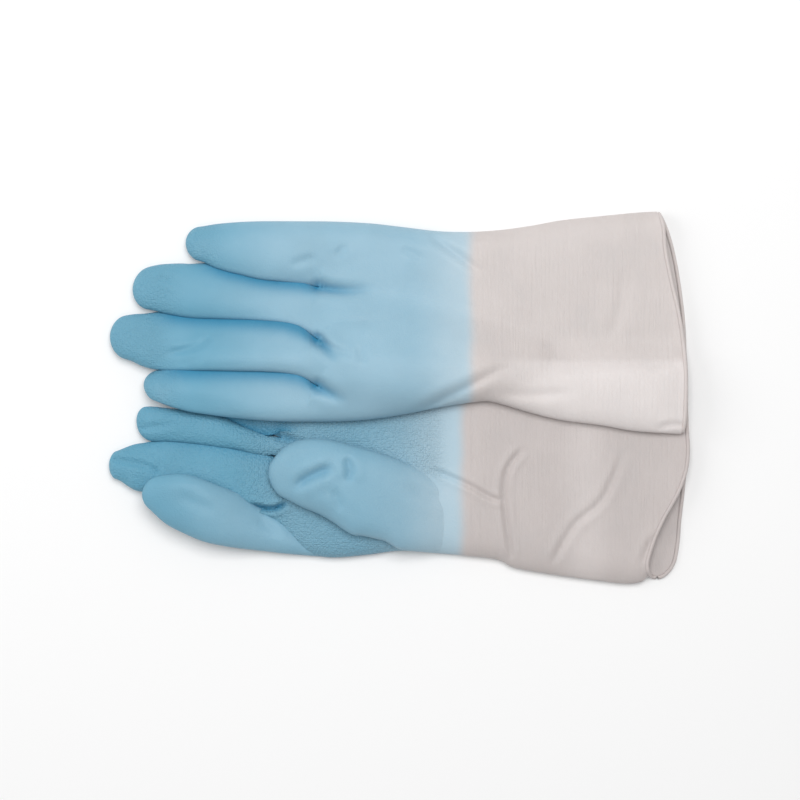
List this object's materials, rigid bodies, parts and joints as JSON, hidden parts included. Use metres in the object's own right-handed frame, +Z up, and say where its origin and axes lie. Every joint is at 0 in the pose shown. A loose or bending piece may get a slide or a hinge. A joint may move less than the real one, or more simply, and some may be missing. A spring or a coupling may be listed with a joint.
{
  "type": "pair of household rubber gloves",
  "caption": "Pair of long rubber gloves laid flat, one palm up with its thumb folded over, the other back up across it; both cuffs end in a rolled bead.",
  "frame": {"origin": "centre of the pair's footprint, on the surface that it lies on", "axes": "+X from the fingertips towards the cuffs, +Y towards the right glove's little-finger side, +Z up"},
  "size_m": [0.3055, 0.1967, 0.0311],
  "materials": {
    "blue_rubber": "satin, smooth on the back of the hand, finely embossed grip on the palm and fingertips",
    "white_rubber": "satin, warm white, slightly translucent"
  },
  "bodies": {
    "left_hand": {"left_hand": "blue_rubber", "left_cuff": "white_rubber", "left_cuff_bead": "white_rubber", "left_little_stall": "blue_rubber"},
    "left_thumb": {"left_thumb_stall": "blue_rubber"},
    "left_index": {"left_index_stall": "blue_rubber"},
    "left_middle": {"left_middle_stall": "blue_rubber"},
    "left_ring": {"left_ring_stall": "blue_rubber"},
    "right_hand": {"right_hand": "blue_rubber", "right_thumb_stall": "blue_rubber"},
    "right_cuff": {"right_cuff": "white_rubber", "right_cuff_bead": "white_rubber"},
    "right_index": {"right_index_stall": "blue_rubber"},
    "right_middle": {"right_middle_stall": "blue_rubber"},
    "right_ring": {"right_ring_stall": "blue_rubber"},
    "right_little": {"right_little_stall": "blue_rubber"}
  },
  "joints": [
    {"name": "right_glove_lift", "type": "slide", "parent": "left_hand", "child": "right_hand", "axis": [0, 0, 1], "range_m": [0, 0.12]},
    {"name": "right_little_fold", "type": "hinge", "parent": "right_hand", "child": "right_little", "pos_m": [-0.0582, 0.07677, 0.01115], "axis": [0, 1, 0], "range_deg": [0, 75]},
    {"name": "right_ring_fold", "type": "hinge", "parent": "right_hand", "child": "right_ring", "pos_m": [-0.0582, 0.04928, 0.01117], "axis": [0, 1, 0], "range_deg": [0, 75]},
    {"name": "right_middle_fold", "type": "hinge", "parent": "right_hand", "child": "right_middle", "pos_m": [-0.0582, 0.02454, 0.02263], "axis": [0, 1, 0], "range_deg": [0, 75]},
    {"name": "right_index_fold", "type": "hinge", "parent": "right_hand", "child": "right_index", "pos_m": [-0.0582, -0.00074, 0.0234], "axis": [0, 1, 0], "range_deg": [0, 75]},
    {"name": "right_cuff_fold", "type": "hinge", "parent": "right_hand", "child": "right_cuff", "pos_m": [0.038, 0.042, 0.02961], "axis": [0, -1, 0], "range_deg": [0, 65]},
    {"name": "left_thumb_fold", "type": "hinge", "parent": "left_hand", "child": "left_thumb", "pos_m": [-0.0082, -0.055, 0.02258], "axis": [0, 1, 0], "range_deg": [0, 75]},
    {"name": "left_ring_fold", "type": "hinge", "parent": "left_hand", "child": "left_ring", "pos_m": [-0.0722, -0.021, 0.0099], "axis": [0, 1, 0], "range_deg": [0, 70]},
    {"name": "left_middle_fold", "type": "hinge", "parent": "left_hand", "child": "left_middle", "pos_m": [-0.0722, -0.0435, 0.0099], "axis": [0, 1, 0], "range_deg": [0, 70]},
    {"name": "left_index_fold", "type": "hinge", "parent": "left_hand", "child": "left_index", "pos_m": [-0.0722, -0.0695, 0.0099], "axis": [0, 1, 0], "range_deg": [0, 70]}
  ],
  "couplings": [
    {"joint": "left_index_fold", "follows": "left_middle_fold", "ratio": 1}
  ]
}
